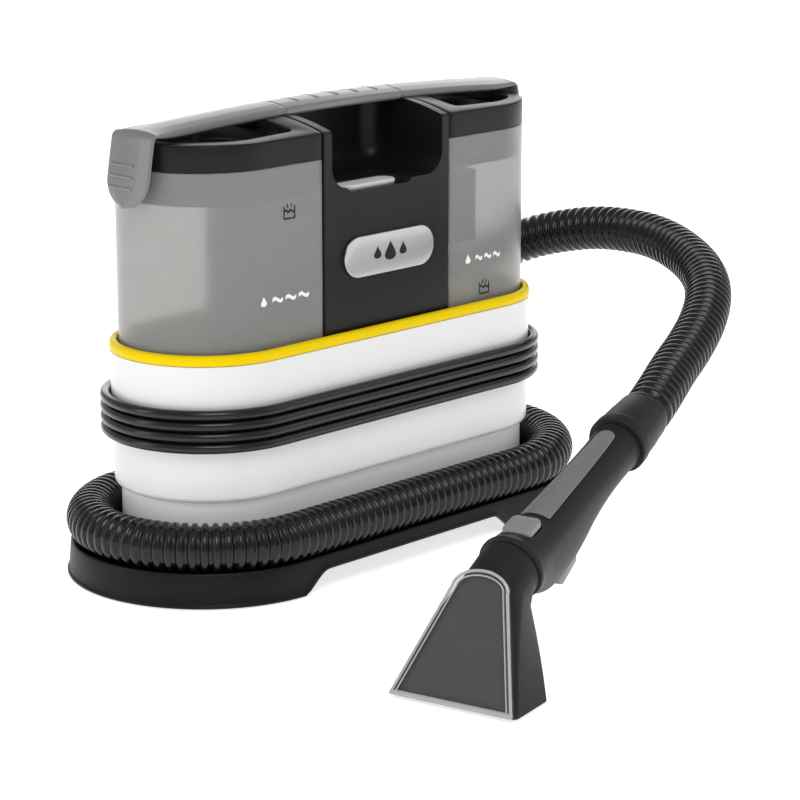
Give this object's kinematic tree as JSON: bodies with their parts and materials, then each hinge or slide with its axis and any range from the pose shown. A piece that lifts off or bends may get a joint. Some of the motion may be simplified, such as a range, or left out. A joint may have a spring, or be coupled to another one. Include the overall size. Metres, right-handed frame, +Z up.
{
  "type": "spot extractor",
  "caption": "Compact upright spot cleaner with two lift-out tanks, a carrying bar, a wound cable and a suction hose parked in its base tray, with a hand wand and flared nozzle.",
  "frame": {"origin": "on the floor under the middle of the body, on the flat pad of the bottom cover", "axes": "+X along the body towards the dirt-water tank, -Y towards the front with the badge, +Z up"},
  "size_m": [0.5122, 0.4804, 0.326],
  "materials": {
    "black_plastic": "satin moulded plastic, finely grained",
    "white_gloss": "glossy moulded plastic",
    "off_white": "satin moulded plastic",
    "yellow_plastic": "glossy moulded plastic",
    "grey_grip": "satin soft-touch plastic",
    "smoke_clear": "clear smoke-tinted plastic",
    "clear_plastic": "clear plastic",
    "hose_black": "corrugated glossy plastic",
    "cable_black": "smooth glossy PVC",
    "brushed_metal": "brushed, fine vertical grain",
    "steel": "turned steel",
    "rubber": "matte rubber",
    "board_green": "solder mask",
    "motor_metal": "pressed steel"
  },
  "bodies": {
    "root": {"air_duct": "black_plastic", "badge_plate": "brushed_metal", "base_skirt": "off_white", "base_tray": "black_plastic", "bottom_cover": "black_plastic", "cable_coil": "cable_black", "cable_gland": "rubber", "cable_lead": "cable_black", "cable_tail": "cable_black", "centre_grip": "grey_grip", "circuit_board": "board_green", "column_shell": "black_plastic", "fan_housing": "black_plastic", "foot_front_left": "rubber", "foot_front_right": "rubber", "foot_rear_left": "rubber", "foot_rear_right": "rubber", "hose_clip": "black_plastic", "hose_cuff": "black_plastic", "hose_outlet": "black_plastic", "inner_frame": "black_plastic", "main_housing": "white_gloss", "mains_plug": "cable_black", "motor_can": "motor_metal", "plug_clip": "black_plastic", "power_switch": "black_plastic", "pump_body": "black_plastic", "rim_trim": "yellow_plastic", "suction_hose": "hose_black", "water_line": "clear_plastic"},
    "fresh_tank": {"fresh_tank_shell": "smoke_clear", "fresh_valve_seat": "black_plastic"},
    "fresh_valve": {"fresh_valve_stem": "rubber"},
    "fresh_lid": {"fresh_lid": "black_plastic", "fresh_lid_seal": "rubber", "fresh_lever_pin": "steel"},
    "fresh_lever": {"fresh_lever": "grey_grip"},
    "dirt_tank": {"dirt_tank_shell": "smoke_clear", "dirt_separator": "smoke_clear", "float_guide": "smoke_clear"},
    "dirt_float": {"dirt_float": "yellow_plastic"},
    "dirt_lid": {"dirt_lid": "black_plastic", "dirt_lid_seal": "rubber", "dirt_lever_pin": "steel"},
    "dirt_lever": {"dirt_lever": "grey_grip"},
    "power_button": {"power_button": "grey_grip"},
    "rotor": {"motor_rotor": "motor_metal", "fan_impeller": "black_plastic"},
    "pump_plunger": {"pump_plunger": "steel"},
    "wand": {"wand_handle": "black_plastic", "grip_inlay": "grey_grip", "water_valve": "black_plastic"},
    "spray_trigger": {"spray_trigger": "grey_grip"},
    "release_button": {"release_button": "grey_grip"},
    "nozzle": {"nozzle_housing": "black_plastic", "nozzle_window": "clear_plastic", "spray_tip": "black_plastic"}
  },
  "joints": [
    {"name": "power_press", "type": "slide", "parent": "root", "child": "power_button", "axis": [0, 0, -1], "range_m": [0, 0.003], "stiffness_N_per_m": 900},
    {"name": "fresh_tank_lift", "type": "slide", "parent": "root", "child": "fresh_tank", "axis": [0, 0, 1], "range_m": [0, 0.18]},
    {"name": "fresh_valve_travel", "type": "slide", "parent": "fresh_tank", "child": "fresh_valve", "axis": [0, 0, 1], "range_m": [0, 0.004], "stiffness_N_per_m": 300},
    {"name": "fresh_lid_lift", "type": "slide", "parent": "fresh_tank", "child": "fresh_lid", "axis": [0, 0, 1], "range_m": [0, 0.06]},
    {"name": "fresh_lever_hinge", "type": "hinge", "parent": "fresh_lid", "child": "fresh_lever", "pos_m": [-0.0685, 0, 0.3205], "axis": [0, 1, 0], "range_deg": [0, 75]},
    {"name": "dirt_tank_lift", "type": "slide", "parent": "root", "child": "dirt_tank", "axis": [0, 0, 1], "range_m": [0, 0.18]},
    {"name": "dirt_float_rise", "type": "slide", "parent": "dirt_tank", "child": "dirt_float", "axis": [0, 0, 1], "range_m": [0, 0.09]},
    {"name": "dirt_lid_lift", "type": "slide", "parent": "dirt_tank", "child": "dirt_lid", "axis": [0, 0, 1], "range_m": [0, 0.06]},
    {"name": "dirt_lever_hinge", "type": "hinge", "parent": "dirt_lid", "child": "dirt_lever", "pos_m": [0.0685, 0, 0.3205], "axis": [0, -1, 0], "range_deg": [0, 75]},
    {"name": "rotor_spin", "type": "hinge", "parent": "root", "child": "rotor", "pos_m": [0, 0, 0.07], "axis": [0, 0, 1], "continuous": true},
    {"name": "pump_stroke", "type": "slide", "parent": "root", "child": "pump_plunger", "axis": [1, 0, 0], "range_m": [0, 0.005], "stiffness_N_per_m": 600},
    {"name": "wand_swivel", "type": "hinge", "parent": "root", "child": "wand", "pos_m": [-0.00527, -0.2736, 0.11676], "axis": [0.932, 0.1947, 0.3057], "continuous": true},
    {"name": "trigger_pull", "type": "hinge", "parent": "wand", "child": "spray_trigger", "pos_m": [-0.0993, -0.29324, 0.06596], "axis": [0.2045, -0.9789, 0], "range_deg": [0, 8], "stiffness_Nm_per_rad": 0.6},
    {"name": "release_press", "type": "slide", "parent": "wand", "child": "release_button", "axis": [0.2992, 0.0625, -0.9521], "range_m": [0, 0.0025], "stiffness_N_per_m": 500},
    {"name": "nozzle_pull", "type": "slide", "parent": "wand", "child": "nozzle", "axis": [-0.932, -0.1947, -0.3057], "range_m": [0, 0.06]}
  ]
}
